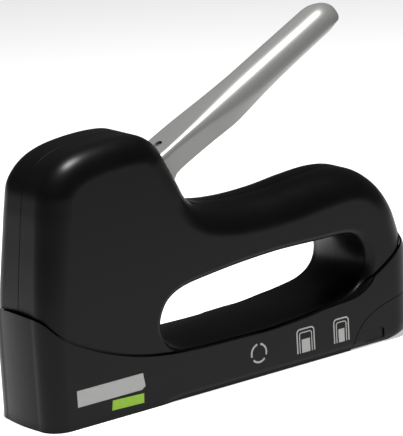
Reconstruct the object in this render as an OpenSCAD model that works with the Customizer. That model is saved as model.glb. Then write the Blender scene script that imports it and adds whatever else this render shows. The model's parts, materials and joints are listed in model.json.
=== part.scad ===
// Hand staple gun: two moulded half shells round a sprung striker, a pressed steel lever
// above the grip and a staple drawer along the base.
// X runs from the nose to the tail, Y across the gun and Z up. The base plane is z = 0.
// All sizes are in millimetres. Heights and lengths are measured from the nose at the base.

/* [Housing] */
// Length of the housing from nose to tail
gun_length = 167.6; // [166:0.1:169]
// Half of the width of the upper body
body_half = 17.2; // [16.8:0.1:17.6]
// How far the lower boot stands proud of the body on each side
boot_proud = 0.8; // [0.5:0.1:1.2]
// Thickness of the moulded shell
wall = 2.4; // [2:0.1:2.8]
// Rounding between the sides and the top, front and back of the body
body_round = 9.5; // [8:0.5:10]
// Rounding between the sides and the top of the grip
grip_round = 11; // [9:0.5:11.5]
// Rounding round the finger opening
opening_round = 2.6; // [2:0.2:3]

/* [Lever] */
// Angle that the lever swings down from rest, in degrees
lever_swing = 27; // [24:1:28]
// Width of the lever over its flanges
lever_w = 16; // [15:0.5:16]
// Thickness of the lever's sheet steel
lever_t = 1.2; // [1:0.1:1.4]
// Slope of the lever's top at rest, in degrees
lever_slope = 27.7; // [27:0.1:28.5]
// Radius of the lever's pivot pin
pivot_r = 2.5; // [2:0.1:3]

/* [Striker] */
// Width of the striker blade, the crown of the widest staple
blade_w = 11.2; // [10.6:0.1:11.4]
// Thickness of the striker blade
blade_t = 0.9; // [0.7:0.1:1]
// Outer radius of the main spring
spring_r = 6.2; // [5.8:0.1:6.2]
// Wire radius of the main spring
spring_wire = 0.95; // [0.8:0.05:1]
// Turns of the main spring
spring_turns = 8; // [7:1:9]

/* [Magazine] */
// Outer half width of the steel magazine channel
channel_half = 7.6; // [7.4:0.1:7.6]
// Sheet thickness of the magazine channel and the staple rail
sheet = 1; // [0.8:0.1:1]
// Half width of the staple rail
rail_half = 4.6; // [4.4:0.1:4.7]
// Radius of the rod that guides the pusher
rod_r = 1; // [0.8:0.1:1.1]

/* [Fits] */
// Gap between pieces that move past each other
gap = 0.3; // [0.25:0.05:0.35]
// Radial clearance of a pin that turns in a bore
fit = 0.05; // [0.02:0.01:0.08]

/* [Hidden] */
$fn = 48;

boot_half = body_half + boot_proud;

// The side of the body on its centre line, as a few points on a smooth curve.
// Each entry is x, z, how far the rounding reaches in from there, and how far it reaches across.
NOSE_R = 8;
NOSE = [NOSE_R, NOSE_R];
BODY = [body_round, body_round];
GRIP = [grip_round, grip_round * 1.25];
OUTLINE = [
    [0.9, 0, each NOSE], [1, 14, each NOSE], [1.2, 28, each NOSE], [2, 42, each NOSE],
    [3.3, 54, 8.5, 8.5], [4.7, 65, 9, 9], [6.1, 76, each BODY], [8, 84, each BODY],
    [13.5, 90.2, each BODY], [21, 93.8, each BODY], [31, 95.6, each BODY], [42, 96.1, each BODY],
    [50, 95, each BODY], [56.2, 90.6, each BODY], [60.2, 83.6, each BODY], [64, 76.6, each BODY],
    [67.8, 70.4, 10, 11], [73, 66.6, 10.5, 13], [82, 64.4, each GRIP], [95, 63.4, each GRIP],
    [110, 63.9, each GRIP], [124, 65.5, each GRIP], [137, 66.3, each GRIP], [146.5, 64.6, each GRIP],
    [155, 58.9, each GRIP], [161, 51, each GRIP], [164, 42, 10.5, 12.5], [166, 31, 10, 11],
    [166.8, 20, 10, 10], [166.8, 9, 9, 9], [165.2, 3, 5, 5], [161, 0, 5, 5]
];
// The finger opening, clockwise from its front end. Each entry is x, z, how far its wall falls
// back from the middle of the gun to the sides there, and the rounding of its rim.
RIM = opening_round;
HEEL_R = 4;
RAIL_R = 0.4;
OPENING = [
    [50, 27, 0, RIM], [50.9, 32, 0, RIM], [54.4, 36.8, 0, RIM], [61.5, 39.9, 0, RIM],
    [74, 41.7, 0, RIM], [88, 43.1, 0, RIM], [104, 44, 0, RIM], [120, 43.9, 0, RIM],
    [133, 43.4, 0.4, RIM], [139.2, 40.2, 1.4, 3.4], [141.8, 34, 2, HEEL_R], [140.6, 27.6, 1.8, HEEL_R],
    [136, 23, 1.2, 2.4], [127, 20.4, 0.9, 0.8], [113, 18.9, 0.9, RAIL_R], [97, 18.1, 0.9, RAIL_R],
    [80, 17.9, 0.9, RAIL_R], [64, 18.1, 0.9, RAIL_R], [56, 19, 0.5, 1.2], [51.6, 22, 0, 2]
];
// The groove along the top of the boot, from the nose to the tail.
GROOVE = [
    [-2, 42.3], [1.5, 39.6], [4.5, 36.2], [8.1, 32.8], [15.2, 28.8], [23.2, 25.1], [31.4, 22.1],
    [39.7, 19.8], [48.2, 18.3], [56.9, 17.4], [68, 16.9], [83.9, 16.7], [97, 16.6], [112.7, 17.6],
    [122.5, 18.9], [132.5, 20.8], [140.1, 23.3], [147.9, 27], [154, 30.6], [160, 35], [165, 38.4], [170, 41]
];
// The seam between the housing and the magazine cap, from the base to the tail.
CAP_SEAM = [
    [133.8, 0], [135.5, 3.5], [137.4, 6.7], [140.4, 9.8], [144, 12], [148.7, 13.8], [153.3, 15.1],
    [158, 16.1], [163, 16.8], [170, 17.4]
];

PIVOT = [52, 65];
// Half the lever's swing: the hook's toe is level with the pivot there.
HALF_SWING = lever_swing / 2;
PIN_R = 1.8;
PIN_ARM = 25.5 / cos(HALF_SWING);
STROKE = 2 * PIN_ARM * sin(HALF_SWING);
BLADE_X = 9;
BLADE_BACK = BLADE_X + blade_t;
// The plunger's block, and the rivets that hold the blade to it.
PLUNGER_Z = [40, 46];
PLUNGER_END = 30.6;
LIFT_PIN = [26.5, PIVOT[1] - STROKE / 2];
RIVET_Y = 4.2;
RIVET_Z = 43;
RIVET_R = 1.2;
SHELF_Z = [33.2, 36.2];
BUMPER_TOP = 39.7;
// The main spring stands on the plunger and pushes against the cap.
SPRING_X = 16.5;
SPRING_Z = PLUNGER_Z[1];
SPRING_TOP = 80;
SPRING_CORE = spring_r - 2 * spring_wire - 0.3;
CAP_X = SPRING_X + 0.6;
CAP_R = 5.8;
CAP_H = 4;
// The drawer: rod, rail and the channel round them.
ROD_Z = 6.4;
RAIL_Z = 2.6;
RAIL_TOP = 10.6;
RAIL_END = 141;
CHANNEL_X = [10.6, 132.5];
CHANNEL_Z = 0.4;
CHANNEL_TOP = 13.6;
CHANNEL_RIVETS = [26, 116];
NECK_X = 130.5;
CAP_PIN = [136, 8.6];
CAP_PIN_R = 0.9;
PUSHER_END = 26;
// The catch lies on its stud and drops into a notch in the cap.
CATCH_STUD_X = 144;
CATCH_Z = 19.6;
CATCH_T = 0.6;
SCREWS = [[33, 90], [41, 48.5], [24, 19.5], [84, 54.5], [134, 55.5], [155, 25.5]];
BOSS_R = 4;
FAR = 200;

// ---- curves ----

// A point of a cubic curve that passes through b and c, with a and d as their neighbours.
function curve_point(a, b, c, d, t) =
    0.5 * (2 * b + (c - a) * t + (2 * a - 5 * b + 4 * c - d) * t * t
    + (3 * b - a - 3 * c + d) * t * t * t);
function closed_curve(pts, steps) = let (n = len(pts)) [
    for (i = [0 : n - 1], s = [0 : steps - 1])
        curve_point(pts[(i + n - 1) % n], pts[i], pts[(i + 1) % n], pts[(i + 2) % n], s / steps)
];
function open_curve(pts, steps) = let (n = len(pts)) [
    for (i = [0 : n - 2], s = [0 : (i == n - 2 ? steps : steps - 1)])
        curve_point(pts[max(i - 1, 0)], pts[i], pts[i + 1], pts[min(i + 2, n - 1)], s / steps)
];
function normal_at(pts, i) = let (
    n = len(pts), d = pts[(i + 1) % n] - pts[(i + n - 1) % n], l = norm([d[0], d[1]])
) [d[1] / l, -d[0] / l];
function polar(a) = [cos(a), sin(a)];
// Each point moved along its normal: to the right of the way round the curve.
function moved(pts, by) = [
    for (i = [0 : len(pts) - 1]) let (m = normal_at(pts, i)) [pts[i][0] + m[0] * by, pts[i][1] + m[1] * by]
];

// The base stays straight, so its corners aren't part of the smooth curve.
SIDE = open_curve(OUTLINE, 2);
HOLE = closed_curve(OPENING, 2);
BOOT_TOP = open_curve(GROOVE, 2);
CAP_TOP = open_curve(CAP_SEAM, 2);

// ---- building blocks ----

// Puts the origin at the middle of the base.
module place() { translate([-gun_length / 2, 0, 0]) children(); }
// A side outline in x and z, made solid from y = from to y = to.
module slab(from, to) {
    translate([0, to, 0]) rotate([90, 0, 0]) linear_extrude(to - from) children();
}
module block(x, y, z) { translate([x[0], y[0], z[0]]) cube([x[1] - x[0], y[1] - y[0], z[1] - z[0]]); }
// A cylinder along Y with its axis at x, z.
module cross_pin(x, z, r, from, to) {
    translate([x, to, z]) rotate([90, 0, 0]) cylinder(r = r, h = to - from);
}
// Things drawn with the pivot at the origin and the lever halfway down, put where they are at rest.
module lever_frame() { translate([PIVOT[0], 0, PIVOT[1]]) rotate([0, -HALF_SWING, 0]) children(); }
// Things drawn with x along the lever's top, from the pivot.
module along_lever() { translate([PIVOT[0], 0, PIVOT[1]]) rotate([0, -lever_slope, 0]) children(); }

// Rings of points joined into one closed solid.
module skin(rings) {
    n = len(rings[0]);
    m = len(rings);
    polyhedron(
        points = [for (ring = rings, p = ring) p],
        faces = concat(
            [[for (i = [n - 1 : -1 : 0]) i]],
            [for (j = [0 : m - 2], i = [0 : n - 1], f = [
                [j * n + i, j * n + (i + 1) % n, (j + 1) * n + (i + 1) % n],
                [j * n + i, (j + 1) * n + (i + 1) % n, (j + 1) * n + i]
            ]) f],
            [[for (i = [0 : n - 1]) (m - 1) * n + i]]
        )
    );
}
// A round wire along a coil about the Z axis.
module coil(r, wire, height, turns, per_turn = 20, sides = 8) {
    steps = turns * per_turn;
    skin([for (k = [0 : steps]) let (a = 360 * k / per_turn, z = wire + (height - 2 * wire) * k / steps) [
        for (s = [0 : sides - 1]) let (b = -360 * s / sides, q = r - wire + wire * cos(b))
            [q * cos(a), q * sin(a), z + wire * sin(b)]
    ]]);
}

// ---- housing ----

ROUND_STEPS = 4;
// Half of the body as rings from the seam to the flat side, each further in than the last.
module body_half_solid() {
    skin(concat(
        [[for (p = SIDE) [p[0], 0, p[1]]]],
        [for (k = [0 : ROUND_STEPS]) let (a = 90 * k / ROUND_STEPS) [
            for (i = [0 : len(SIDE) - 1]) let (
                m = side_normal(i), d = SIDE[i][2] * (1 - cos(a)), across = SIDE[i][3]
            ) [SIDE[i][0] + m[0] * d, -(body_half - across * (1 - sin(a))), max(SIDE[i][1] + m[1] * d, 0)]
        ]]
    ));
}
function side_normal(i) = i == 0 || i == len(SIDE) - 1 ? [i == 0 ? 1 : -1, 0] : normal_at(SIDE, i);

// The boot in plan: full width with rounded corners at the nose and the tail.
NOSE_CORNER = 8.5;
TAIL_CORNER = 12;
module boot_plan() {
    for (side = [-1, 1]) {
        translate([NOSE_CORNER, side * (boot_half - NOSE_CORNER)]) circle(NOSE_CORNER, $fn = 96);
        translate([gun_length - TAIL_CORNER, side * (boot_half - TAIL_CORNER)])
            circle(TAIL_CORNER, $fn = 96);
    }
    translate([0, NOSE_CORNER - boot_half]) square([2 * NOSE_CORNER, 2 * (boot_half - NOSE_CORNER)]);
    translate([gun_length - 2 * TAIL_CORNER, TAIL_CORNER - boot_half])
        square([2 * TAIL_CORNER, 2 * (boot_half - TAIL_CORNER)]);
    translate([NOSE_CORNER, -boot_half]) square([gun_length - NOSE_CORNER - TAIL_CORNER, 2 * boot_half]);
}
// The side of the boot, from the base to the groove, with a rounded heel.
module boot_outline() {
    polygon(concat([[0, 0], [gun_length - 7, 0], [gun_length - 2.6, 1.9], [gun_length, 7], [gun_length, 30],
        [gun_length - 1.2, 35]], [for (i = [len(BOOT_TOP) - 5 : -1 : 2]) BOOT_TOP[i]], [[1.4, 39.6]]));
}
module boot_solid(from, to) {
    difference() {
        intersection() {
            linear_extrude(60) boot_plan();
            slab(from, to) boot_outline();
        }
        lower_edge();
    }
}
// The bevel along the base behind the nose, which runs out at its front end.
BEVEL_X = 46;
module lower_edge() {
    bevel = 1.6;
    for (s = [-1, 1]) hull() for (e = [[BEVEL_X, 0.01], [BEVEL_X + 12, bevel], [gun_length, bevel]])
        translate([e[0], s * boot_half, -0.01]) rotate([90, 0, 90]) linear_extrude(1)
            polygon([[0, 0], [-s * e[1], 0], [0, e[1] * 1.4]] + [[s, -1], [-s, -1], [s, 1]] * 0.01);
}
// The opening as rings from the seam outwards: its walls are crowned and its rim is rounded.
module opening_cutter() {
    skin(concat(
        [for (t = [-0.04, 0, 0.35, 0.7, 1]) opening_ring(t, 0)],
        [for (a = [30, 60, 90]) opening_ring(1, a)],
        [opening_ring(1.4, 90)]
    ));
}
// A ring of the opening a share t of the way from the seam to its rim, turned through angle a there.
function opening_ring(t, a) = [
    for (i = [0 : len(HOLE) - 1]) let (
        r = HOLE[i][3], m = normal_at(HOLE, i),
        d = HOLE[i][2] * pow(min(max(t, 0), 1), 2) + r * (1 - cos(a)),
        y = t > 1 ? boot_half + 1 : (body_half - r) * t + r * sin(a) + (a == 90 ? 0.05 : 0)
    ) [HOLE[i][0] - m[0] * d, -y, HOLE[i][1] - m[1] * d]
];
// Where the lever comes out and swings down.
module lever_window() {
    slab(-lever_w / 2 - 0.6, lever_w / 2 + 0.6) polygon([
        [44, 56], [62, 58.2], [69, 63.6], [74.5, 66.2], [90, 80], [80, 106], [60.2, 87.9], [46, 80.4]
    ]);
}
// The hollows: two depths in the body, so that the walls stay even under the rounding.
module body_hollow(from, to) {
    slab(from, to) polygon([
        [3.4, 37], [4.6, 45], [7.4, 66], [9, 77], [10.9, 82.4], [15.4, 87.4], [22.4, 90.9], [31.5, 92.9],
        [42, 93.4], [49, 92.4], [54.2, 88.8], [58, 82.2], [62, 75], [66, 68.6], [70, 65.2], [66, 56],
        [58, 46.5], [49.4, 42], [46.8, 34], [46.6, 24], [49, 16.4], [10.6, 16.4], [10.6, 31]
    ]);
}
module body_hollow_side() {
    slab(-14.6, 0.5) polygon([
        [7.4, 40], [9.5, 52], [12, 66], [14, 77], [19, 83.6], [31, 88.2], [46, 88], [52, 84],
        [57, 74], [62, 66], [60, 57], [52, 48.5], [46.6, 42], [44.6, 30], [46, 19], [13, 19], [9, 30]
    ]);
}
module grip_hollow() {
    slab(-11, 0.5) polygon([
        [74, 46.5], [74, 61.4], [90, 60.4], [110, 60], [124, 61.2], [138, 61.8], [146, 59.8], [152.5, 55],
        [157.4, 48.6], [160.2, 40], [161.4, 30.5], [161.6, 20.6], [147.5, 20.6], [145.6, 27], [146.4, 34],
        [143.6, 43], [135.5, 47.8], [120, 48.3], [104, 48.3], [88, 47.4]
    ]);
}
module rail_hollow() {
    block([13, 131], [-15, 0.5], [wall, 15.2]);
}
module screw_boss(x, z, r = BOSS_R) { cross_pin(x, z, r, -body_half + 1, 0); }

// The resize changes nothing: it keeps the shell's many small faces together as one mesh.
module half_shell() {
    resize([0, 0, 0]) difference() {
        union() {
            body_half_solid();
            boot_solid(-boot_half, 0);
        }
        opening_cutter();
        difference() {
            union() {
                body_hollow(-11, 0.5);
                body_hollow_side();
                grip_hollow();
                rail_hollow();
            }
            for (p = SCREWS) screw_boss(p[0], p[1]);
            screw_boss(PIVOT[0], PIVOT[1], 5.6);
            // The shelf under the bumper, the seat of the spring cap, and ribs that hold the steel parts.
            block([11.2, 31], [-16, -0.01], SHELF_Z);
            block([9, 26], [-16, -0.01], [SPRING_TOP + CAP_H + 0.1, 96]);
            for (z = [6, 18, 29]) block([2, 7.5], [-12, -0.01], [z, z + 2]);
            for (x = [30 : 24 : 126]) block([x, x + 2], [-15.5, -channel_half - 0.1], [0, 16]);
            block([146, 151], [-12, -0.01], [20.6, 23]);
        }
        // The tunnel for the magazine channel, open along the base and through to the tail.
        block([7.5, 150], [-channel_half - 0.1, 0.5], [-1, CHANNEL_TOP + 0.1]);
        block([133, FAR], [-channel_half - 0.1, 0.5], [-1, 13.3]);
        block([7.5, 11], [-9.2, 0.5], [-1, 40]);
        translate([CAP_X, 0, SPRING_TOP - 0.1]) cylinder(r = CAP_R + 0.1, h = CAP_H + 0.2);
        lever_window();
        cap_region(gap);
        // Room for the catch above the cap.
        block([139, 160], [-4.6, 0.5], [12, 20.6]);
    }
}
// Everything below the cap's seam at the tail, grown by a gap.
module cap_region(grow) {
    slab(-30, 30) polygon(concat(
        [[CAP_SEAM[0][0] - grow, -1]],
        [for (p = CAP_TOP) [p[0] - grow * 0.7, p[1] + grow * 0.7]],
        [[FAR, 17.4 + grow], [FAR, -1]]
    ));
}
HEAD_R = 3.2;
module housing_left() {
    place() color([0.11, 0.11, 0.12]) difference() {
        half_shell();
        for (p = SCREWS) cross_pin(p[0], p[1], 1.25, -12, 1);
        cross_pin(PIVOT[0], PIVOT[1], pivot_r + fit, -14, 1);
        // Leaves only the boss's flat end beside the lever's flange.
        cross_pin(PIVOT[0], PIVOT[1], 9, -lever_w / 2 - 0.6, 1);
    }
}
module housing_right() {
    place() color([0.11, 0.11, 0.12]) difference() {
        mirror([0, 1, 0]) half_shell();
        for (p = SCREWS) {
            cross_pin(p[0], p[1], 1.7, -1, 30);
            cross_pin(p[0], p[1], HEAD_R + 0.3, 10, 30);
        }
        cross_pin(PIVOT[0], PIVOT[1], pivot_r + fit, -1, 14);
        cross_pin(PIVOT[0], PIVOT[1], 9, -1, lever_w / 2 + 0.6);
    }
}
// Six pan-head screws, driven from the right side.
module housing_screws() {
    place() color("dimgray") for (p = SCREWS) difference() {
        union() {
            cross_pin(p[0], p[1], 1.2, -10, 8);
            cross_pin(p[0], p[1], HEAD_R, 10.02, 12.4);
            cross_pin(p[0], p[1], 1.6, 0.2, 10.2);
        }
        for (a = [0, 90]) translate([p[0], 12, p[1]]) rotate([0, a, 0]) cube([3.4, 2.4, 0.8], center = true);
    }
}
// Steel channel that the striker slides in, behind the nose.
module striker_guide() {
    place() color("silver") difference() {
        block([7.6, 10.2], [-blade_w / 2 - 1.4, blade_w / 2 + 1.4], [CHANNEL_Z, 39]);
        block([BLADE_X - gap, 20], [-blade_w / 2 - gap, blade_w / 2 + gap], [0, 50]);
    }
}
// Steel channel, open downwards, that the staples and the drawer slide in.
module magazine_channel() {
    place() color("silver") difference() {
        block(CHANNEL_X, [-channel_half, channel_half], [CHANNEL_Z, CHANNEL_TOP]);
        block([0, FAR], [sheet - channel_half, channel_half - sheet], [-1, CHANNEL_TOP - sheet]);
        for (x = CHANNEL_RIVETS) translate([x, 0, 10]) cylinder(r = 1.5, h = 8);
    }
}
// Rivets that fix the channel to the ribs of the shells.
module channel_rivets() {
    place() color("gray") for (x = CHANNEL_RIVETS) {
        translate([x, 0, CHANNEL_TOP - sheet]) cylinder(r = 1.48, h = 2.4);
        translate([x, 0, CHANNEL_TOP]) cylinder(r = 2.6, h = 1.2);
    }
}
// Cup at the top of the body that the main spring pushes against.
module spring_cap() {
    place() color("dimgray") union() {
        translate([CAP_X, 0, SPRING_TOP]) cylinder(r = CAP_R, h = CAP_H);
        translate([SPRING_X, 0, SPRING_TOP - 8]) cylinder(r = SPRING_CORE, h = 9);
    }
}
// Rubber pad that stops the plunger at the bottom of its stroke.
module recoil_bumper() {
    place() color([0.2, 0.2, 0.2]) difference() {
        block([11.4, 30], [-9, 9], [SHELF_Z[1], BUMPER_TOP]);
        translate([20.5, 0, 30]) cylinder(r = 3, h = 20);
    }
}
// Pivot pin of the lever, held in the bosses of both shells.
module lever_pin() {
    place() color("silver") cross_pin(PIVOT[0], PIVOT[1], pivot_r, -13.8, 13.8);
}
module main_spring() {
    place() color("silver") translate([SPRING_X, 0, SPRING_Z])
        coil(spring_r, spring_wire, SPRING_TOP - SPRING_Z, spring_turns);
}
// Leaf spring that drops into a notch on top of the magazine cap.
module magazine_catch() {
    under = [[141, CATCH_Z], [149.4, CATCH_Z], [152.4, 17.4], [155, 17.4], [157.4, 19], [159.4, 19.4]];
    place() color("silver") slab(-3.5, 3.5) polygon(concat(
        under, [for (k = [len(under) - 1 : -1 : 0]) under[k] + [k == 0 ? 0 : 0.2, CATCH_T]]
    ));
}
// The stud that the leaf rests on, and the head of its screw.
module catch_screw() {
    place() color("dimgray") translate([CATCH_STUD_X, 0, 0]) {
        translate([0, 0, CATCH_Z - 1.7]) cylinder(r = 2.2, h = 1.7);
        translate([0, 0, CATCH_Z + CATCH_T]) cylinder(r = 1.2, h = 0.4);
    }
}

// ---- lever ----

// Height of the lever's top above the pivot, square to the lever's slope.
LEVER_UP = 14.4;
LEVER_END = 110.6;
// The lever's flange from the side, x along the lever from the pivot, z square to it.
module flange_side() {
    polygon([
        [-4.6, 9.4], [2, LEVER_UP - 0.6], [6, LEVER_UP], [LEVER_END - 9, LEVER_UP],
        [LEVER_END - 4, LEVER_UP - 0.9], [LEVER_END - 1, LEVER_UP - 3.4], [LEVER_END, LEVER_UP - 6],
        [LEVER_END - 1.2, LEVER_UP - 7.8], [LEVER_END - 5, LEVER_UP - 8.6], [96, 5.7], [84, 5.5], [73, 5.1],
        [62, 4.5], [51, 4], [44, 4.4], [38, 4.8], [26, 5.2], [19.4, 5], [16.4, 3.4], [12.6, -2], [8, -6],
        [0, -7], [-6, -4]
    ]);
}
HOOK = [-22.9, 9];
HOOK_HEAD_R = 3.2;
// The arm that carries the hook, with a round end at the pivot and another at the hook's pin.
ARM_PIVOT_R = 8;
ARM_HOOK_R = 4;
module arm_side() {
    aim = atan2(HOOK[1], HOOK[0]);
    spread = acos((ARM_PIVOT_R - ARM_HOOK_R) / norm(HOOK));
    polygon(concat(
        [for (k = [0 : 12]) ARM_PIVOT_R * polar(aim + spread + k * (360 - 2 * spread) / 12)],
        [for (k = [0 : 8]) HOOK + ARM_HOOK_R * polar(aim - spread + k * 2 * spread / 8)]
    ));
}
module lever() {
    w = lever_w / 2;
    inner = w - lever_t;
    under = LEVER_UP - lever_t;
    place() color([0.72, 0.72, 0.71]) difference() {
        // The two arms are flat continuations of the flanges.
        union() {
            along_lever() slab(-w, w) flange_side();
            lever_frame() slab(-w, w) arm_side();
        }
        // Hollow below the top, and open in front of it between the arms.
        along_lever() slab(-inner, inner) polygon([
            [-40, -30], [LEVER_END - 1.6, -30], [LEVER_END - 1.4, LEVER_UP - 6],
            [LEVER_END - 2.2, LEVER_UP - 4], [LEVER_END - 5, LEVER_UP - 2.1], [LEVER_END - 9, under],
            [1, under], [1, 40], [-40, 40]
        ]);
        cross_pin(PIVOT[0], PIVOT[1], pivot_r + fit, -20, 20);
        lever_frame() cross_pin(HOOK[0], HOOK[1], 1.5, -20, 20);
        // The small hole in the top.
        along_lever() translate([22.1, 0, 0]) cylinder(r = 1.6, h = 40);
    }
}
// Torsion spring round the pivot pin, which lifts the lever after each stroke.
module lever_spring() {
    place() color("silver") translate([PIVOT[0], 5.6, PIVOT[1]]) rotate([90, 0, 0])
        coil(4.6, 0.7, 11, 5, 16, 6);
}
module hook_pin() {
    place() color("silver") lever_frame() cross_pin(HOOK[0], HOOK[1], 1.45, -8.4, 8.4);
}
// Hook that hangs from the arms and lifts the plunger's pin.
module lift_hook() {
    place() color("gray") lever_frame() slab(-2.6, 2.6) difference() {
        union() {
            translate(HOOK) circle(HOOK_HEAD_R);
            polygon([
                [HOOK[0] - 1.4, HOOK[1]], [HOOK[0] - 0.1, -2], [-28, -2], [-28, -3.8], [-26.8, -5],
                [-21, -5.2], [-19.6, -3.4], [HOOK[0] + 2.6, HOOK[1] - 1]
            ]);
        }
        translate(HOOK) circle(1.5);
    }
}
// Small coil beside the hook that swings it under the plunger's pin.
module hook_spring() {
    place() color("silver") lever_frame() translate([HOOK[0], 6.3, HOOK[1]]) rotate([90, 0, 0])
        coil(2.6, 0.4, 3.2, 3, 12, 6);
}

// ---- striker ----

// Bores or rivets along X through the blade and the plunger.
module rivet_places() {
    for (y = [-RIVET_Y, RIVET_Y]) translate([0, y, RIVET_Z]) rotate([0, 90, 0]) children();
}
module plunger() {
    place() color("dimgray") difference() {
        union() {
            block([BLADE_BACK, PLUNGER_END], [-9, 9], PLUNGER_Z);
            translate([SPRING_X, 0, PLUNGER_Z[1] - 1]) cylinder(r = SPRING_CORE, h = 9);
            block([23.2, PLUNGER_END], [-6.2, 6.2], [PLUNGER_Z[1] - 1, 62]);
        }
        // The slot that the hook works in.
        block([23.1, 40], [-3.2, 3.2], [PLUNGER_Z[1] + 1, 70]);
        cross_pin(LIFT_PIN[0], LIFT_PIN[1], PIN_R, -10, 10);
        rivet_places() cylinder(r = RIVET_R, h = 12);
    }
}
module striker() {
    place() color("silver") difference() {
        block([BLADE_X, BLADE_BACK], [-blade_w / 2, blade_w / 2], [0.6, PLUNGER_Z[1]]);
        rivet_places() cylinder(r = RIVET_R, h = 12);
    }
}
module striker_rivets() {
    place() color("gray") rivet_places() {
        translate([0, 0, BLADE_X]) cylinder(r = RIVET_R, h = 12 - BLADE_X);
        translate([0, 0, BLADE_X - 0.6]) cylinder(r = 2, h = 0.6);
    }
}
module plunger_pin() {
    place() color("silver") cross_pin(LIFT_PIN[0], LIFT_PIN[1], PIN_R, -6.2, 6.2);
}

// ---- magazine ----

module magazine_cap() {
    place() color([0.12, 0.12, 0.13]) difference() {
        union() {
            intersection() {
                linear_extrude(60) boot_plan();
                slab(-boot_half, boot_half) polygon(concat(
                    [[CAP_SEAM[0][0], 0]], [for (p = CAP_TOP) if (p[0] < gun_length - 0.5) p],
                    [[gun_length, 17.1], [gun_length, 7], [gun_length - 2.6, 1.9], [gun_length - 7, 0]]
                ));
            }
            block([NECK_X, 150], [-6.2, 6.2], [1, 12.2]);
        }
        // Socket for the rail, and the bores of the rod and the pin.
        socket = rail_half + 0.02;
        block([NECK_X - 1, RAIL_END], [-socket, socket], [RAIL_Z - 0.02, RAIL_TOP + 0.02]);
        translate([130, 0, ROD_Z]) rotate([0, 90, 0]) cylinder(r = rod_r, h = 22);
        cross_pin(CAP_PIN[0], CAP_PIN[1], CAP_PIN_R, -20, 20);
        // Half-moon finger marks on both sides.
        for (s = [-1, 1]) intersection() {
            cross_pin(145.4, 1.2, 5.6, s > 0 ? boot_half - 0.6 : -30, s > 0 ? 30 : 0.6 - boot_half);
            block([140, 149.4], [-30, 30], [1.6, 8]);
        }
        // Notch for the catch.
        block([151.6, 156.4], [-4.4, 4.4], [14, 20]);
    }
}
module staple_rail() {
    place() color("silver") difference() {
        block([11.2, RAIL_END], [-rail_half, rail_half], [RAIL_Z, RAIL_TOP]);
        block([12.4, 150], [sheet - rail_half, rail_half - sheet], [0, RAIL_TOP - sheet]);
        cross_pin(CAP_PIN[0], CAP_PIN[1], CAP_PIN_R, -20, 20);
        translate([0, 0, ROD_Z]) rotate([0, 90, 0]) cylinder(r = rod_r, h = 13);
    }
}
module pusher_rod() {
    place() color("silver") translate([11.4, 0, ROD_Z]) rotate([0, 90, 0]) cylinder(r = rod_r, h = 139.6);
}
module cap_pin() {
    place() color("silver") cross_pin(CAP_PIN[0], CAP_PIN[1], CAP_PIN_R - 0.02, -6.2, 6.2);
}
module pusher() {
    place() color("gray") difference() {
        block([13.2, PUSHER_END], [-5.9, 5.9], [1, 12]);
        // Wraps round the rail, with a boss inside it on the rod.
        block([0, 50], [-rail_half - gap, -3.2], [2.2, RAIL_TOP + gap]);
        block([0, 50], [3.2, rail_half + gap], [2.2, RAIL_TOP + gap]);
        block([0, 50], [-3.3, 3.3], [RAIL_TOP - sheet - gap, RAIL_TOP + gap]);
        translate([10, 0, ROD_Z]) rotate([0, 90, 0]) cylinder(r = rod_r + fit, h = 20);
    }
}
module pusher_spring() {
    place() color("silver") translate([PUSHER_END, 0, ROD_Z]) rotate([0, 90, 0])
        coil(2.3, 0.3, NECK_X - PUSHER_END - 0.1, 26, 10, 5);
}

housing_left();
housing_right();
housing_screws();
striker_guide();
magazine_channel();
channel_rivets();
spring_cap();
recoil_bumper();
lever_pin();
main_spring();
magazine_catch();
catch_screw();
lever();
lever_spring();
hook_pin();
lift_hook();
hook_spring();
plunger();
striker();
striker_rivets();
plunger_pin();
magazine_cap();
staple_rail();
pusher_rod();
cap_pin();
pusher();
pusher_spring();
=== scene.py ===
import json
import math

import bmesh
import bpy
from mathutils import Matrix, Vector


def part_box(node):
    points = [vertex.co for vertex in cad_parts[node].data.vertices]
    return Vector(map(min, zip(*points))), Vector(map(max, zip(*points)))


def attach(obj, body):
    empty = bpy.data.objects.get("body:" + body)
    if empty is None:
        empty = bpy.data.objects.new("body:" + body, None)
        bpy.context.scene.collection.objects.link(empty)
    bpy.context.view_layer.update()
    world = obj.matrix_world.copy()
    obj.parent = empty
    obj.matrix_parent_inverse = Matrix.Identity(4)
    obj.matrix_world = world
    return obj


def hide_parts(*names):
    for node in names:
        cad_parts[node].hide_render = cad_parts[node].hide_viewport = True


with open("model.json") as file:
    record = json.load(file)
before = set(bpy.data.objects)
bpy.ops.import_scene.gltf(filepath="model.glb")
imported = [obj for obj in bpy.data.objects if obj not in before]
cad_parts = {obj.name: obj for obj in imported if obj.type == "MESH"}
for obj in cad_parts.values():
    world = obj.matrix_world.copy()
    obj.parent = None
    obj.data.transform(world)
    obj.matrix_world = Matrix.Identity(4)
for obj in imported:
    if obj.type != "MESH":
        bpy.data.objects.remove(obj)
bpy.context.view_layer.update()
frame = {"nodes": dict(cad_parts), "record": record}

# Shapes are worked out in millimetres from the nose at the base, and put into the frame at the end.
MM = 0.001
NOSE_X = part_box("housing_left")[0].x
LENGTH = (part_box("housing_left")[1].x - NOSE_X) / MM
BOOT_HALF = -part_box("housing_left")[0].y / MM
BOOT_PROUD = 0.8
BODY_HALF = BOOT_HALF - BOOT_PROUD
TO_FRAME = Matrix.Translation((NOSE_X, 0, 0)) @ Matrix.Scale(MM, 4)


# ---------------------------------------------------------------- curves

def curve_point(a, b, c, d, t):
    """A point of a cubic curve through b and c, with a and d as their neighbours."""
    square = (2 * a - 5 * b + 4 * c - d) * t ** 2
    cube = (3 * b - a - 3 * c + d) * t ** 3
    return 0.5 * (2 * b + (c - a) * t + square + cube)


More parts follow.
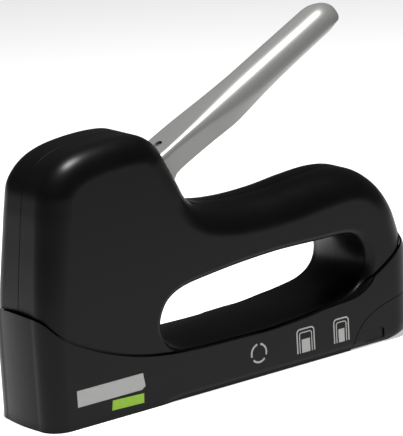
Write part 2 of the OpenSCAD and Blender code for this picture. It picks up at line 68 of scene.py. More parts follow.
def between(a, b, c, d, t):
    return tuple(curve_point(*four, t) for four in zip(a, b, c, d))


def open_curve(points, steps):
    last = len(points) - 1
    made = [
        between(points[max(i - 1, 0)], points[i], points[i + 1], points[min(i + 2, last)], s / steps)
        for i in range(last) for s in range(steps)
    ]
    return made + [tuple(points[-1])]


def closed_curve(points, steps):
    n = len(points)
    return [
        between(points[i - 1], points[i], points[(i + 1) % n], points[(i + 2) % n], s / steps)
        for i in range(n) for s in range(steps)
    ]


def side_normals(points, closed):
    """The direction to the right of the way along the curve, in x and z, at each point."""
    n = len(points)
    normals = []
    for i in range(n):
        before = points[i - 1] if closed or i else points[0]
        after = points[(i + 1) % n] if closed or i < n - 1 else points[-1]
        x, z = after[0] - before[0], after[1] - before[1]
        size = math.hypot(x, z)
        normals.append((z / size, -x / size))
    return normals


def height_on(curve, x):
    """The height of a curve that runs from the nose to the tail, at x."""
    for (x0, z0), (x1, z1) in zip(curve, curve[1:]):
        if x <= x1:
            return z0 + (z1 - z0) * (x - x0) / (x1 - x0)
    return curve[-1][1]


def ease(x, low, high):
    """Rises smoothly from 0 at low to 1 at high."""
    t = min(max((x - low) / (high - low), 0), 1)
    return t * t * (3 - 2 * t)


# ---------------------------------------------------------------- mesh tools

def new_piece(name, points, faces):
    mesh = bpy.data.meshes.new(name)
    mesh.from_pydata([tuple(p) for p in points], [], faces)
    piece = bpy.data.objects.new(name, mesh)
    bpy.context.scene.collection.objects.link(piece)
    shape = bmesh.new()
    shape.from_mesh(mesh)
    bmesh.ops.remove_doubles(shape, verts=shape.verts, dist=1e-5)
    bmesh.ops.recalc_face_normals(shape, faces=shape.faces)
    shape.to_mesh(mesh)
    shape.free()
    return piece


def loft(name, rings):
    """Closed rings of points joined into one closed solid."""
    n = len(rings[0])
    faces = [tuple(range(n)), tuple(range((len(rings) - 1) * n, len(rings) * n))]
    for j in range(len(rings) - 1):
        for i in range(n):
            k = (i + 1) % n
            faces.append((j * n + i, j * n + k, (j + 1) * n + k, (j + 1) * n + i))
    return new_piece(name, [p for ring in rings for p in ring], faces)


def slab(name, outline, low, high):
    """An outline in x and z made solid between two values of y."""
    return loft(name, [[(x, y, z) for x, z in outline] for y in (low, high)])


def block(name, x, y, z):
    return slab(name, [(x[0], z[0]), (x[1], z[0]), (x[1], z[1]), (x[0], z[1])], y[0], y[1])


def rod(name, start, end, radius, sides=48):
    """A round bar between two points."""
    start, end = Vector(start), Vector(end)
    turn = (end - start).to_track_quat("Z", "Y")
    ring = [turn @ Vector((radius * math.cos(a), radius * math.sin(a), 0))
            for a in (2 * math.pi * i / sides for i in range(sides))]
    return loft(name, [[start + p for p in ring], [end + p for p in ring]])


def combine(piece, other, operation="DIFFERENCE"):
    """A boolean applied at once. The other piece is used up."""
    step = piece.modifiers.new("step", "BOOLEAN")
    step.operation = operation
    step.solver = "MANIFOLD"
    step.object = other
    mesh = bpy.data.meshes.new_from_object(piece.evaluated_get(bpy.context.evaluated_depsgraph_get()))
    piece.modifiers.clear()
    piece.data = mesh
    bpy.data.objects.remove(other)
    return piece


def join_all(pieces):
    for other in pieces[1:]:
        combine(pieces[0], other, "UNION")
    return pieces[0]


def mirrored(piece, name):
    copy = bpy.data.objects.new(name, piece.data.copy())
    bpy.context.scene.collection.objects.link(copy)
    copy.data.transform(Matrix.Scale(-1, 4, (0, 1, 0)))
    copy.data.flip_normals()
    return copy


def finish_piece(piece, body, material, stands_for=(), sharp=32, weighted=True):
    """Puts a piece into the frame, with smooth shading and its material."""
    piece.data.transform(TO_FRAME)
    piece.data.materials.clear()
    piece.data.materials.append(material)
    piece.data.polygons.foreach_set("use_smooth", [True] * len(piece.data.polygons))
    piece.data.set_sharp_from_angle(angle=math.radians(sharp))
    if weighted:
        weights = piece.modifiers.new("normals", "WEIGHTED_NORMAL")
        weights.keep_sharp = True
    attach(piece, body)
    if stands_for:
        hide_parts(*stands_for)
    return piece


# ---------------------------------------------------------------- materials

class Recipe:
    """A node material built round one Principled shader, with object coordinates in metres."""

    def __init__(self, name, color, rough, metal=0.0, specular=0.5):
        self.material = bpy.data.materials.new(name)
        self.material.use_nodes = True
        self.material.diffuse_color = (*color, 1)
        self.nodes = self.material.node_tree.nodes
        self.links = self.material.node_tree.links
        self.shader = self.nodes["Principled BSDF"]
        self.shader.inputs["Base Color"].default_value = (*color, 1)
        self.shader.inputs["Roughness"].default_value = rough
        self.shader.inputs["Metallic"].default_value = metal
        self.shader.inputs["Specular IOR Level"].default_value = specular
        self.place = self.nodes.new("ShaderNodeTexCoord")
        self.bump = None

    def noise(self, size, detail=3.0, stretch=(1, 1, 1)):
        """Noise with features of about that size in metres."""
        mapping = self.nodes.new("ShaderNodeMapping")
        mapping.inputs["Scale"].default_value = [s / size for s in stretch]
        texture = self.nodes.new("ShaderNodeTexNoise")
        texture.inputs["Scale"].default_value = 1.0
        texture.inputs["Detail"].default_value = detail
        self.links.new(self.place.outputs["Object"], mapping.inputs["Vector"])
        self.links.new(mapping.outputs["Vector"], texture.inputs["Vector"])
        return texture.outputs["Fac"]

    def ramp(self, value, low, high, start=0.3, end=0.7):
        """The value spread from low to high."""
        spread = self.nodes.new("ShaderNodeMapRange")
        spread.inputs["From Min"].default_value = start
        spread.inputs["From Max"].default_value = end
        spread.inputs["To Min"].default_value = low
        spread.inputs["To Max"].default_value = high
        self.links.new(value, spread.inputs["Value"])
        return spread.outputs["Result"]

    def vary_rough(self, value, low, high):
        self.links.new(self.ramp(value, low, high), self.shader.inputs["Roughness"])

    def vary_color(self, value, low, high):
        mix = self.nodes.new("ShaderNodeMix")
        mix.data_type = "RGBA"
        mix.inputs[6].default_value = (*low, 1)
        mix.inputs[7].default_value = (*high, 1)
        self.links.new(self.ramp(value, 0, 1), mix.inputs[0])
        self.links.new(mix.outputs[2], self.shader.inputs["Base Color"])

    def raise_by(self, value, height, strength=1.0):
        """Adds a bump of that height in metres."""
        bump = self.nodes.new("ShaderNodeBump")
        bump.inputs["Distance"].default_value = height
        bump.inputs["Strength"].default_value = strength
        self.links.new(value, bump.inputs["Height"])
        if self.bump:
            self.links.new(self.bump.outputs["Normal"], bump.inputs["Normal"])
        self.links.new(bump.outputs["Normal"], self.shader.inputs["Normal"])
        self.bump = bump


def moulded_plastic(name, shade, rough, grain=0.00025):
    """Satin black plastic from a finely textured mould."""
    recipe = Recipe(name, (shade, shade, shade * 1.04), rough, specular=0.12)
    fine = recipe.noise(grain, 2)
    broad = recipe.noise(0.02, 3)
    darker = (shade * 0.86, shade * 0.86, shade * 0.9)
    lighter = (shade * 1.14, shade * 1.14, shade * 1.2)
    recipe.vary_color(broad, darker, lighter)
    recipe.vary_rough(broad, rough - 0.03, rough + 0.03)
    recipe.raise_by(fine, 0.00001, 0.5)
    return recipe.material


def painted_steel(name):
    """Silver grey paint with a faint orange peel and fine flakes."""
    recipe = Recipe(name, (0.26, 0.26, 0.25), 0.36, metal=0.45)
    flakes = recipe.noise(0.0002, 2)
    recipe.vary_color(flakes, (0.25, 0.25, 0.24), (0.27, 0.27, 0.26))
    recipe.vary_rough(recipe.noise(0.006, 3), 0.35, 0.38)
    recipe.raise_by(recipe.noise(0.0012, 2), 0.000004, 0.3)
    return recipe.material


def plated_steel(name, color, rough, along=(1, 12, 12)):
    """Bare or plated steel with fine lines along one way."""
    recipe = Recipe(name, color, rough, metal=1.0)
    lines = recipe.noise(0.004, 4, along)
    recipe.vary_color(recipe.noise(0.006, 3), [c * 0.9 for c in color], [min(c * 1.08, 1) for c in color])
    recipe.vary_rough(lines, rough - 0.06, rough + 0.08)
    recipe.raise_by(lines, 0.000008, 0.5)
    return recipe.material


def soft_rubber(name):
    recipe = Recipe(name, (0.03, 0.03, 0.03), 0.75, specular=0.3)
    recipe.vary_color(recipe.noise(0.004, 3), (0.024, 0.024, 0.024), (0.038, 0.037, 0.036))
    recipe.raise_by(recipe.noise(0.0006, 3), 0.00003)
    return recipe.material


def printing(name, color):
    """Pad printing: a thin film of ink."""
    recipe = Recipe(name, color, 0.45, specular=0.3)
    recipe.vary_color(recipe.noise(0.0012, 3), [c * 0.93 for c in color], color)
    recipe.raise_by(recipe.noise(0.0004, 2), 0.000004)
    return recipe.material


SHELL = moulded_plastic("shell_black", 0.0026, 0.33)
CAP_BLACK = moulded_plastic("cap_black", 0.003, 0.33)
INNER = moulded_plastic("inner_black", 0.03, 0.5)
LEVER_PAINT = painted_steel("lever_paint")
ZINC = plated_steel("zinc_plate", (0.6, 0.61, 0.63), 0.34)
HARD = plated_steel("hardened_steel", (0.4, 0.4, 0.41), 0.28, (12, 12, 1))
SPRING = plated_steel("spring_wire", (0.34, 0.34, 0.36), 0.3, (6, 6, 6))
DARK = plated_steel("black_oxide", (0.1, 0.1, 0.105), 0.42, (6, 6, 6))
RUBBER = soft_rubber("bumper_rubber")
PALE_INK = printing("pale_ink", (0.36, 0.36, 0.35))
GREEN_INK = printing("green_ink", (0.24, 0.45, 0.02))

NODE_MATERIALS = {
    "shell_plastic": SHELL, "cap_plastic": CAP_BLACK, "lever_paint": LEVER_PAINT, "zinc_steel": ZINC,
    "hard_steel": HARD, "spring_steel": SPRING, "dark_steel": DARK, "inner_plastic": INNER, "rubber": RUBBER
}
for part in frame["record"]["subparts"]:
    node = frame["nodes"][part["node"]]
    node.data.materials.clear()
    node.data.materials.append(NODE_MATERIALS[part["material_slot"]])


# ---------------------------------------------------------------- camera, light and floor

CAMERA_TURN = math.radians(36.31)
CAMERA_RISE = math.radians(14.22)
CAMERA_ROLL = math.radians(3.42)
CAMERA_DISTANCE = 0.955
# How far the nose at the base lies from the middle of the view.
NOSE_ACROSS = -0.06178
NOSE_UP = -0.07171
LENS = 228.7
STAGE_RADIUS = 1.6
# What the stage gives off by itself, and what the room sends to everything but the camera.
STAGE_GLOW = 0.5
ROOM_LIGHT = 0.08


def add_camera():
    a, e, roll = CAMERA_TURN, CAMERA_RISE, CAMERA_ROLL
    back = Vector((-math.sin(a) * math.cos(e), -math.cos(a) * math.cos(e), math.sin(e)))
    level = Vector((math.cos(a), -math.sin(a), 0))
    upright = back.cross(level)
    right = math.cos(roll) * level - math.sin(roll) * upright
    up = math.sin(roll) * level + math.cos(roll) * upright
    place = Vector((NOSE_X, 0, 0)) + back * CAMERA_DISTANCE - right * NOSE_ACROSS - up * NOSE_UP
    data = bpy.data.cameras.new("camera")
    data.lens = LENS
    data.sensor_width = 36
    camera = bpy.data.objects.new("camera", data)
    camera.matrix_world = Matrix.Translation(place) @ Matrix((right, up, back)).transposed().to_4x4()
    bpy.context.scene.collection.objects.link(camera)
    bpy.context.scene.camera = camera


def add_softbox(name, place, aim, size, power):
    data = bpy.data.lights.new(name, "AREA")
    data.shape = "RECTANGLE"
    data.size, data.size_y = size
    data.energy = power
    lamp = bpy.data.objects.new(name, data)
    lamp.location = place
    lamp.rotation_mode = "QUATERNION"
    lamp.rotation_quaternion = (Vector(aim) - Vector(place)).to_track_quat("-Z", "Y")
    bpy.context.scene.collection.objects.link(lamp)


def add_floor():
    sides = 64
    turns = [2 * math.pi * i / sides for i in range(sides)]
    rim = [(STAGE_RADIUS * math.cos(a), STAGE_RADIUS * math.sin(a), 0) for a in turns]
    floor = new_piece("floor", rim, [tuple(range(sides))])
    recipe = Recipe("floor_white", (0.86, 0.86, 0.86), 0.75, specular=0.2)
    recipe.vary_color(recipe.noise(0.4, 2), (0.85, 0.85, 0.85), (0.87, 0.87, 0.87))
    # The stage glows a little, like a light table, so it stays pale away from the softbox.
    recipe.shader.inputs["Emission Color"].default_value = (1, 1, 1, 1)
    recipe.shader.inputs["Emission Strength"].default_value = STAGE_GLOW
    floor.data.materials.append(recipe.material)


def add_world():
    """White to the camera, and a dim room to everything else."""
    world = bpy.data.worlds.new("studio")
    bpy.context.scene.world = world
    world.use_nodes = True
    nodes = world.node_tree.nodes
    links = world.node_tree.links
    seen = nodes["Background"]
    seen.inputs["Color"].default_value = (1, 1, 1, 1)
    seen.inputs["Strength"].default_value = 1.0
    room = nodes.new("ShaderNodeBackground")
    room.inputs["Color"].default_value = (0.97, 0.98, 1, 1)
    room.inputs["Strength"].default_value = ROOM_LIGHT
    path = nodes.new("ShaderNodeLightPath")
    mix = nodes.new("ShaderNodeMixShader")
    links.new(path.outputs["Is Camera Ray"], mix.inputs["Fac"])
    links.new(room.outputs["Background"], mix.inputs[1])
    links.new(seen.outputs["Background"], mix.inputs[2])
    links.new(mix.outputs["Shader"], nodes["World Output"].inputs["Surface"])


add_camera()
add_world()
add_floor()
add_softbox("overhead", (-0.06, -0.04, 0.78), (-0.02, -0.02, 0.05), (0.17, 0.17), 9.5)
bpy.context.scene.view_settings.view_transform = "Standard"


# ---------------------------------------------------------------- housing

NOSE_ROUND = (8, 8)
BODY_ROUND = (9.5, 9.5)
GRIP_ROUND = (11, 13.75)
# The side of the body: x, z, and how far the rounding reaches in from there and across.
OUTLINE = [
    (0.9, 0, *NOSE_ROUND), (1, 14, *NOSE_ROUND), (1.2, 28, *NOSE_ROUND), (2, 42, *NOSE_ROUND),
    (3.3, 54, 8.5, 8.5), (4.7, 65, 9, 9), (6.1, 76, *BODY_ROUND), (8, 84, *BODY_ROUND),
    (13.5, 90.2, *BODY_ROUND), (21, 93.8, *BODY_ROUND), (31, 95.6, *BODY_ROUND), (42, 96.1, *BODY_ROUND),
    (50, 95, *BODY_ROUND), (56.2, 90.6, *BODY_ROUND), (60.2, 83.6, *BODY_ROUND), (64, 76.6, *BODY_ROUND),
    (67.8, 70.4, 10, 11), (73, 66.6, 10.5, 13), (82, 64.4, *GRIP_ROUND), (95, 63.4, *GRIP_ROUND),
    (110, 63.9, *GRIP_ROUND), (124, 65.5, *GRIP_ROUND), (137, 66.3, *GRIP_ROUND), (146.5, 64.6, *GRIP_ROUND),
    (155, 58.9, *GRIP_ROUND), (161, 51, *GRIP_ROUND), (164, 42, 10.5, 12.5), (166, 31, 10, 11),
    (166.4, 20, 10, 10), (166, 9, 9, 9), (164.4, 3, 5, 5), (161, 0, 5, 5)
]
# The finger opening: x, z, how far its wall falls back towards the side, and its rim's rounding.
OPENING = [
    (50, 27, 0, 2.6), (50.9, 32, 0, 2.6), (54.4, 36.8, 0, 2.6), (61.5, 39.9, 0, 2.6), (74, 41.7, 0, 2.6),
    (88, 43.1, 0, 2.6), (104, 44, 0, 2.6), (120, 43.9, 0, 2.6), (133, 43.4, 0.4, 2.6),
    (139.2, 40.2, 1.4, 3.4), (141.8, 34, 2, 4), (140.6, 27.6, 1.8, 4), (136, 23, 1.2, 2.4),
    (127, 20.4, 0.9, 0.8), (113, 18.9, 0.9, 0.4), (97, 18.1, 0.9, 0.4),
    (80, 17.9, 0.9, 0.4), (64, 18.1, 0.9, 0.4), (56, 19, 0.5, 1.2), (51.6, 22, 0, 2)
]
# The groove along the top of the boot.
GROOVE = [
    (-2, 42.3), (1.5, 39.6), (4.5, 36.2), (8.1, 32.8), (15.2, 28.8), (23.2, 25.1), (31.4, 22.1), (39.7, 19.8),
    (48.2, 18.3), (56.9, 17.4), (68, 16.9), (83.9, 16.7), (97, 16.6), (112.7, 17.6), (122.5, 18.9),
    (132.5, 20.8), (140.1, 23.3), (147.9, 27), (154, 30.6), (160, 35), (165, 38.4), (170, 41)
]
# The seam between the housing and the magazine cap.
CAP_SEAM = [
    (133.8, 0), (135.5, 3.5), (137.4, 6.7), (140.4, 9.8), (144, 12), (148.7, 13.8), (153.3, 15.1),
    (158, 16.1), (163, 16.8), (170, 17.4)
]
SCREWS = [(33, 90), (41, 48.5), (24, 19.5), (84, 54.5), (134, 55.5), (155, 25.5)]
PIVOT = (52, 65)
LEVER_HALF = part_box("lever")[1].y / MM
CHANNEL_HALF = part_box("magazine_channel")[1].y / MM + 0.1
CHANNEL_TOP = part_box("magazine_channel")[1].z / MM + 0.1
NOSE_CORNER = 8.5
TAIL_CORNER = 12
HEEL_START = 140
SEAM_BEVEL = 0.22
GROOVE_WIDTH = 0.55
GROOVE_DEPTH = 0.6
# The bevel along the base: where it starts and is full, and its size.
BEVEL_START = 46
BEVEL_FULL = 58
BEVEL_WIDE = 1.6
BEVEL_HIGH = 2.24
# Gaps and bores of the housing, the cap and the lever.
GAP = 0.3
WALL = 2.4
SCREW_BOSS_R = 4
PIVOT_BOSS_R = 5.6
PIVOT_BORE_R = 2.56
LEVER_GAP = 0.6

SIDE = open_curve(OUTLINE, 8)
HOLE = closed_curve(OPENING, 8)
BOOT_TOP = open_curve(GROOVE, 6)
CAP_TOP = open_curve(CAP_SEAM, 8)


def body_ring(angle, inset=0.0):
    """A ring of the body, turned through an angle of its rounding, and set in all over."""
    ring = []
    for (x, z, reach_in, across), (nx, nz) in zip(SIDE, side_normals(SIDE, False)):
        if z <= 0.01:
            nx, nz = (1 if x < 80 else -1), 0
        d = reach_in * (1 - math.cos(angle)) + inset
        y = -(BODY_HALF - inset - across * (1 - math.sin(angle)))
        ring.append((x + nx * d, y, max(z + nz * d, 0)))
    return ring


def flat_ring(inset, y):
    return [(x, y, z) for x, _, z in body_ring(0, inset)]


def body_solid(name, inset=0.0, rounds=14):
    rings = [flat_ring(inset + SEAM_BEVEL, 0), flat_ring(inset, -SEAM_BEVEL)]
    rings += [body_ring(math.pi / 2 * k / rounds, inset) for k in range(rounds + 1)]
    return loft(name, rings)


def boot_plan():
    """The boot from above, from the nose round one side to the tail: x, y and the direction inwards."""
    crown = 0.7
    nose_y = BOOT_HALF - NOSE_CORNER
    tail_y = BOOT_HALF - TAIL_CORNER
    plan = [(crown * (k / 12) ** 2, -nose_y * k / 12, 1, 0) for k in range(12)]
    for k in range(25):
        a = math.pi / 2 * k / 24
        x = NOSE_CORNER * (1 - math.cos(a)) + crown * (1 - k / 24)
        plan.append((x, -nose_y - NOSE_CORNER * math.sin(a), math.cos(a), math.sin(a)))
    straight = 84
    for k in range(1, straight):
        x = NOSE_CORNER + (LENGTH - NOSE_CORNER - TAIL_CORNER) * k / straight
        plan.append((x, -BOOT_HALF, 0, 1))
    for k in range(19):
        a = math.pi / 2 * k / 18
        plan.append((LENGTH - TAIL_CORNER * (1 - math.sin(a)), -tail_y - TAIL_CORNER * math.cos(a),
                     -math.sin(a), math.cos(a)))
    return plan + [(LENGTH, -tail_y * (1 - k / 4), -1, 0) for k in range(1, 5)]


def heel(x, z):
    """The tail's rounded heel pulls points near the tail forwards at the base and at the top."""
    low = 7
    high = 30
    back = 0.0
    if z < low:
        back = low * (1 - math.sqrt(max(1 - (1 - z / low) ** 2, 0)))
    elif z > high:
        back = (z - high) ** 2 / 22
    share = max(x - HEEL_START, 0) / (LENGTH - HEEL_START)
    return x - back * share


def boot_solid(name):
    """The boot's half as rings from the base to its rounded top edge, each closed along the seam."""
    edge = 0.5
    plan = boot_plan()
    # Each row of the side: height, share of the way up, turn of the top edge, and share of the bevel.
    rows = [(0, 0.0, 0.0, 1.0)]
    rows += [(BEVEL_HIGH * k / 4, 0.0, 0.0, (1 - k / 4) ** 1.15) for k in range(1, 5)]
    rows += [(BEVEL_HIGH, k / 16, 0.0, 0.0) for k in range(1, 17)]
    rows += [(0, 1.0, math.pi / 2 * k / 5, 0.0) for k in range(1, 6)]
    rings = []
    for low, share, turn, bevel in rows:
        ring = []
        for x, y, in_x, in_y in plan:
            top = height_on(BOOT_TOP, x)
            z = low if share == 0 else BEVEL_HIGH + (top - edge - BEVEL_HIGH) * share
            z += edge * math.sin(turn) if share == 1.0 else 0
            inward = BEVEL_WIDE * bevel * ease(x, BEVEL_START, BEVEL_FULL) + edge * (1 - math.cos(turn))
            ring.append((heel(x + in_x * inward, z), min(y + in_y * inward, 0), z))
        rings.append(ring + [(x, 0, z) for x, _, z in reversed(ring)])
    n = len(plan)
    count = 2 * n
    faces = []
    for j in range(len(rings) - 1):
        for i in range(count):
            k = (i + 1) % count
            faces.append((j * count + i, j * count + k, (j + 1) * count + k, (j + 1) * count + i))
    for first in (0, (len(rings) - 1) * count):
        for i in range(n - 1):
            back = first + count - 1 - i
            faces.append((first + i, first + i + 1, back - 1, back))
    return new_piece(name, [p for ring in rings for p in ring], faces)


def opening_cutter(name):
    """The finger opening, with crowned walls and a rounded rim."""
    steps = [(t, 0.0) for t in (-0.04, 0, 0.15, 0.3, 0.45, 0.6, 0.75, 0.88, 1)]
    steps += [(1, math.pi / 2 * k / 8) for k in range(1, 9)] + [(1.4, math.pi / 2)]
    normals = side_normals(HOLE, True)
    rings = []
    for t, angle in steps:
        ring = []
        for (x, z, crown, rim), (nx, nz) in zip(HOLE, normals):
            d = crown * min(max(t, 0), 1) ** 2 + rim * (1 - math.cos(angle))
            y = (BODY_HALF - rim) * t + rim * math.sin(angle) + (0.05 if angle > 1.5 else 0)
            if t > 1:
                y = BOOT_HALF + 1
            ring.append((x - nx * d, -y, z - nz * d))
        rings.append(ring)
    return loft(name, rings)


def groove_cutter(name):
    """A thin ribbon along the top of the boot, only as deep as the groove."""
    normals = side_normals(BOOT_TOP, False)
    lower = [(x, z - 0.3) for x, z in BOOT_TOP]
    upper = [(x - nx * GROOVE_WIDTH, z - nz * GROOVE_WIDTH) for (x, z), (nx, nz) in zip(BOOT_TOP, normals)]
    ribbon = slab(name, lower + upper[::-1], -BOOT_HALF - 2, 0.5)
    core = body_solid("core", GROOVE_DEPTH, 8)
    core.data.transform(Matrix.Translation((0, 0.6, 0)))
    return combine(ribbon, core)


def cap_outline(grow):
    """Everything below the cap's seam, grown by a gap."""
    rows = [(x - grow * 0.7, z + grow * 0.7) for x, z in CAP_TOP]
    return [(CAP_SEAM[0][0] - grow, -1)] + rows + [(200, 17.4 + grow), (200, -1)]


BODY_HOLLOW = [
    (3.4, 37), (4.6, 45), (7.4, 66), (9, 77), (10.9, 82.4), (15.4, 87.4), (22.4, 90.9), (31.5, 92.9),
    (42, 93.4), (49, 92.4), (54.2, 88.8), (58, 82.2), (62, 75), (66, 68.6), (70, 65.2), (66, 56),
    (58, 46.5), (49.4, 42), (46.8, 34), (46.6, 24), (49, 16.4), (10.6, 16.4), (10.6, 31)
]
SIDE_HOLLOW = [
    (7.4, 40), (9.5, 52), (12, 66), (14, 77), (19, 83.6), (31, 88.2), (46, 88), (52, 84), (57, 74), (62, 66),
    (60, 57), (52, 48.5), (46.6, 42), (44.6, 30), (46, 19), (13, 19), (9, 30)
]
GRIP_HOLLOW = [
    (74, 46.5), (74, 61.4), (90, 60.4), (110, 60), (124, 61.2), (138, 61.8), (146, 59.8), (152.5, 55),
    (157.4, 48.6), (160.2, 40), (161.4, 30.5), (161.6, 20.6), (147.5, 20.6), (145.6, 27), (146.4, 34),
    (143.6, 43), (135.5, 47.8), (120, 48.3), (104, 48.3), (88, 47.4)
]
LEVER_WINDOW = [
    (44, 56), (62, 58.2), (69, 63.6), (74.5, 66.2), (90, 80), (80, 106), (60.2, 87.9), (46, 80.4)
]


def boss(x, z, radius, low=-16.2, high=0.0):
    return rod("boss", (x, low, z), (x, high, z), radius)


def hollows(name):
    """The inside of a half, with its screw bosses, the pivot's boss and the bumper's shelf left standing."""
    hollow = join_all([
        slab(name, BODY_HOLLOW, -11, 0.5), slab("side", SIDE_HOLLOW, -14.6, 0.5),
        slab("grip", GRIP_HOLLOW, -11, 0.5), block("rail", (13, 131), (-15, 0.5), (WALL, 15.2))
    ])
    for x, z in SCREWS:
        combine(hollow, boss(x, z, SCREW_BOSS_R))
    combine(hollow, boss(*PIVOT, PIVOT_BOSS_R, -16.2, -LEVER_HALF - LEVER_GAP))
    combine(hollow, block("shelf", (11.2, 31), (-16, -0.01), (33.2, 36.2)))
    combine(hollow, block("seat", (9, 26), (-16, -0.01), (84.1, 96)))
    for x in range(30, 127, 24):
        combine(hollow, block("rib", (x, x + 2), (-15.5, -CHANNEL_HALF), (0, 16)))
    return hollow


def half_shell(name):
    shell = combine(body_solid(name), boot_solid("boot"), "UNION")
    combine(shell, groove_cutter("groove"))
    combine(shell, opening_cutter("opening"))
    combine(shell, hollows("hollow"))
    combine(shell, block("tunnel", (7.5, 150), (-CHANNEL_HALF, 0.5), (-1, CHANNEL_TOP)))
    combine(shell, block("tunnel_end", (133, 200), (-CHANNEL_HALF, 0.5), (-1, 13.3)))
    combine(shell, block("guide_slot", (7.5, 11), (-9.2, 0.5), (-1, 40)))
    combine(shell, slab("window", LEVER_WINDOW, -LEVER_HALF - LEVER_GAP, 0.5))
    combine(shell, slab("cap_gap", cap_outline(GAP), -30, 0.5))
    combine(shell, block("catch_room", (139, 160), (-4.6, 0.5), (12, 20.6)))
    combine(shell, rod("spring_seat", (17.1, 0, 79.9), (17.1, 0, 84.1), 5.9))
    combine(shell, boss(*PIVOT, PIVOT_BORE_R, -14, 1))
    return shell


left = half_shell("housing_left_shell")
right = mirrored(left, "housing_right_shell")
for x, z in SCREWS:
    combine(left, boss(x, z, 1.25, -12, 1))
    combine(right, boss(x, z, 1.7, -1, 30))
    combine(right, boss(x, z, 3.5, 10, 30))
finish_piece(left, "housing", SHELL, ["housing_left"])
finish_piece(right, "housing", SHELL, ["housing_right"])


# ---------------------------------------------------------------- magazine cap

def magazine_cap():
    half = combine(boot_solid("magazine_cap_shell"), slab("cap_part", cap_outline(0), -30, 0.5), "INTERSECT")
    mark = combine(
        boss(145.4, 1.2, 5.6, -30, 0.6 - BOOT_HALF),
        block("mark", (139, 149.4), (-30, 0), (1.6, 8)), "INTERSECT"
    )
    combine(half, mark)
    cap = combine(half, mirrored(half, "other_half"), "UNION")
    combine(cap, block("neck", (130.5, 150), (-6.2, 6.2), (1, 12.2)), "UNION")
    combine(cap, block("socket", (129, 141), (-4.62, 4.62), (2.58, 10.62)))
    combine(cap, rod("rod_bore", (130, 0, 6.4), (152, 0, 6.4), 1))
    combine(cap, rod("pin_bore", (136, -20, 8.6), (136, 20, 8.6), 0.9))
    combine(cap, block("notch", (151.6, 156.4), (-4.4, 4.4), (14, 20)))
    return finish_piece(cap, "magazine", CAP_BLACK, ["magazine_cap"])


magazine_cap()


# ---------------------------------------------------------------- lever

SLOPE = math.radians(27.7)
HALF_SWING = math.radians(13.5)
LEVER_UP = 14.4
LEVER_END = 110.6
SHEET = 1.2
HOOK_PIN = (-22.9, 9)
# The round ends of the arm, at the pivot and at the hook's pin.
ARM_PIVOT_R = 8
ARM_HOOK_R = 4
# How low the flanges reach along the lever, from the web's front end to the tip.
FLANGE_EDGE = [
    (-6, -4), (0, -7), (8, -6), (12.6, -2), (16.4, 3.4), (19.4, 5), (26, 5.2), (38, 4.8), (44, 4.4), (51, 4),
    (62, 4.5), (73, 5.1), (84, 5.5), (96, 5.7), (103, 5.9), (LEVER_END, 7.2)
]
EDGE = open_curve(FLANGE_EDGE, 6)
# Where the rounded tip begins along the lever, and the small hole in its top.
TIP_START = 101
HOLE_ALONG = 22.1


def from_pivot(along, up, slope):
    """A point in the lever's side view, given along and above a line from the pivot."""
    return (PIVOT[0] + along * math.cos(slope) - up * math.sin(slope),
            PIVOT[1] + along * math.sin(slope) + up * math.cos(slope))


def lever_section(along):
    """Half of the lever's outer profile, from the middle of the top down to the flange's edge."""
    tip = max(along - TIP_START, 0) / (LEVER_END - TIP_START)
    width = LEVER_HALF * math.sqrt(max(1 - tip ** 2.6, 0))
    crown = 0.5 * ease(along, 30, 60)
    corner = 2.4 + 4.2 * ease(along, 22, 66)
    corner = min(corner, max(width - 0.2, 0.05))
    top = LEVER_UP - 5.6 * (1 - math.sqrt(max(1 - tip ** 2.2, 0)))
    edge = min(height_on(EDGE, along), top - corner - 0.1)
    tuck = 1.3 * ease(along, 40, 70)
    points = [(width - corner) * k / 6 for k in range(6)]
    profile = [(y, top - crown * (y / max(width, 0.1)) ** 2) for y in points]
    drop = crown * ((width - corner) / max(width, 0.1)) ** 2
    for k in range(13):
        a = math.pi / 2 * k / 12
        profile.append((width - corner * (1 - math.sin(a)), top - drop - corner * (1 - math.cos(a))))
    start = profile[-1][1]
    for k in range(1, 9):
        share = k / 8
        profile.append((width - tuck * share ** 2, start + (edge - start) * share))
    return profile


def squeeze_lever():
    """The outer face of the lever, as an open sheet without thickness."""
    straight = 76
    stations = [6 + (TIP_START - 6) * k / straight for k in range(straight)]
    stations += [TIP_START + (LEVER_END - TIP_START) * math.sin(math.pi / 2 * k / 16) for k in range(16)]
    stations.append(LEVER_END - 0.004)
    grid = []
    for along in stations:
        half = lever_section(along)
        across = [(-y, up) for y, up in half[::-1]] + half[1:]
        sides = [(y, from_pivot(along, up, SLOPE)) for y, up in across]
        grid.append([(x, y, z) for y, (x, z) in sides])
    wide = len(grid[0])
    faces = [
        (j * wide + i, j * wide + i + 1, (j + 1) * wide + i + 1, (j + 1) * wide + i)
        for j in range(len(grid) - 1) for i in range(wide - 1)
    ]
    return new_piece("squeeze_lever", [p for row in grid for p in row], faces)


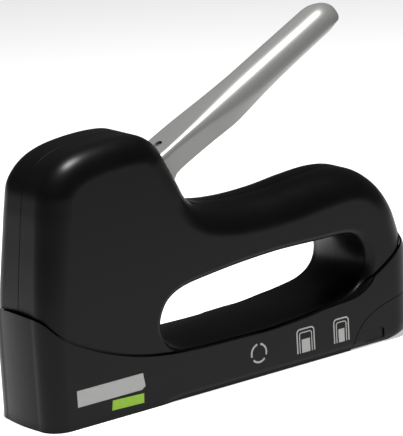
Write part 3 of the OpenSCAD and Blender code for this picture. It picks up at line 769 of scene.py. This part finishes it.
def add_lever():
    lever = squeeze_lever()
    inner = LEVER_HALF - SHEET
    normals_up = sum(p.normal.z for p in lever.data.polygons)
    if normals_up < 0:
        lever.data.flip_normals()
    sheet = lever.modifiers.new("sheet", "SOLIDIFY")
    sheet.thickness = SHEET
    sheet.offset = -1
    sheet.use_even_offset = True
    mesh = bpy.data.meshes.new_from_object(lever.evaluated_get(bpy.context.evaluated_depsgraph_get()))
    lever.modifiers.clear()
    lever.data = mesh
    flange = [
        (-4.6, 9.4), (2, LEVER_UP - 0.8), (6, LEVER_UP - 2.4), (14, LEVER_UP - 2.6), (19, 10),
        (19.4, 5.2), (16.4, 3.4), (12.6, -2), (8, -6), (0, -7), (-6, -4)
    ]
    aim = math.atan2(HOOK_PIN[1], HOOK_PIN[0])
    spread = math.acos((ARM_PIVOT_R - ARM_HOOK_R) / math.hypot(*HOOK_PIN))
    arm = [(ARM_PIVOT_R * math.cos(a), ARM_PIVOT_R * math.sin(a))
           for a in (aim + spread + k * (2 * math.pi - 2 * spread) / 24 for k in range(25))]
    arm += [(HOOK_PIN[0] + ARM_HOOK_R * math.cos(a), HOOK_PIN[1] + ARM_HOOK_R * math.sin(a))
            for a in (aim - spread + k * 2 * spread / 16 for k in range(17))]
    for low, high in ((-LEVER_HALF, -inner), (inner, LEVER_HALF)):
        plate = slab("plate", [from_pivot(*p, SLOPE) for p in flange], low, high)
        plate = combine(plate, slab("arm", [from_pivot(*p, HALF_SWING) for p in arm], low, high), "UNION")
        combine(lever, plate, "UNION")
    combine(lever, rod("pivot_bore", (PIVOT[0], -20, PIVOT[1]), (PIVOT[0], 20, PIVOT[1]), 2.55))
    hook_x, hook_z = from_pivot(*HOOK_PIN, HALF_SWING)
    combine(lever, rod("hook_bore", (hook_x, -20, hook_z), (hook_x, 20, hook_z), 1.5))
    low_x, low_z = from_pivot(HOLE_ALONG, 8, SLOPE)
    high_x, high_z = from_pivot(HOLE_ALONG, 30, SLOPE)
    combine(lever, rod("hole", (low_x, 0, low_z), (high_x, 0, high_z), 1.6))
    finish_piece(lever, "lever", LEVER_PAINT, ["lever"], sharp=38)


add_lever()


# ---------------------------------------------------------------- printing

INK = 0.06


def print_shape(name, outline, material):
    """A thin film of ink on the boot's left side."""
    piece = slab(name, outline, -BOOT_HALF - INK, -BOOT_HALF + INK)
    return finish_piece(piece, "housing", material, weighted=False)


def arc_band(x, z, radius, width, start, end):
    steps = 14
    angles = [math.radians(start + (end - start) * k / steps) for k in range(steps + 1)]
    outer = [(x + radius * math.cos(a), z + radius * math.sin(a)) for a in angles]
    inner = [(x + (radius - width) * math.cos(a), z + (radius - width) * math.sin(a)) for a in angles]
    return outer + inner[::-1]


def frame_band(x, z, width, height, band, corner):
    """An upside-down U with rounded corners, as a line of even width."""
    def path(inset):
        r = max(corner - inset, 0.1)
        left_x, right_x, top = x + inset, x + width - inset, z + height - inset
        turn = [math.pi / 2 * k / 6 for k in range(7)]
        points = [(left_x, z)]
        points += [(left_x + r * (1 - math.cos(a)), top - r * (1 - math.sin(a))) for a in turn]
        points += [(right_x - r * (1 - math.sin(a)), top - r * (1 - math.cos(a))) for a in turn]
        return points + [(right_x, z)]
    return path(0) + path(band)[::-1]


print_shape("label_bar", [(11.6, 13.7), (39.5, 13.7), (40.2, 8.8), (38.6, 7.8), (11.6, 7.8)], PALE_INK)
print_shape("green_bar", [(26.1, 6.9), (39.4, 6.4), (39.2, 3), (25.6, 3.4)], GREEN_INK)
for k, start in enumerate((100, 220, 340)):
    print_shape(f"ring_arc_{k + 1}", arc_band(90.5, 9.1, 3.7, 0.7, start, start + 96), PALE_INK)
for k, (x, width) in enumerate(((107.9, 8.4), (125.2, 7.4))):
    sign = f"sign_{k + 1}"
    low, high = x + 2.3, x + width - 2.3
    print_shape(f"{sign}_frame", frame_band(x, 4.6, width, 9.2, 0.55, 1.6), PALE_INK)
    print_shape(f"{sign}_inner", frame_band(x + 1.2, 4.6, width - 2.4, 7.8, 0.4, 1.1), PALE_INK)
    print_shape(f"{sign}_block", [(low, 4.6), (high, 4.6), (high, 9.6), (low, 9.6)], PALE_INK)
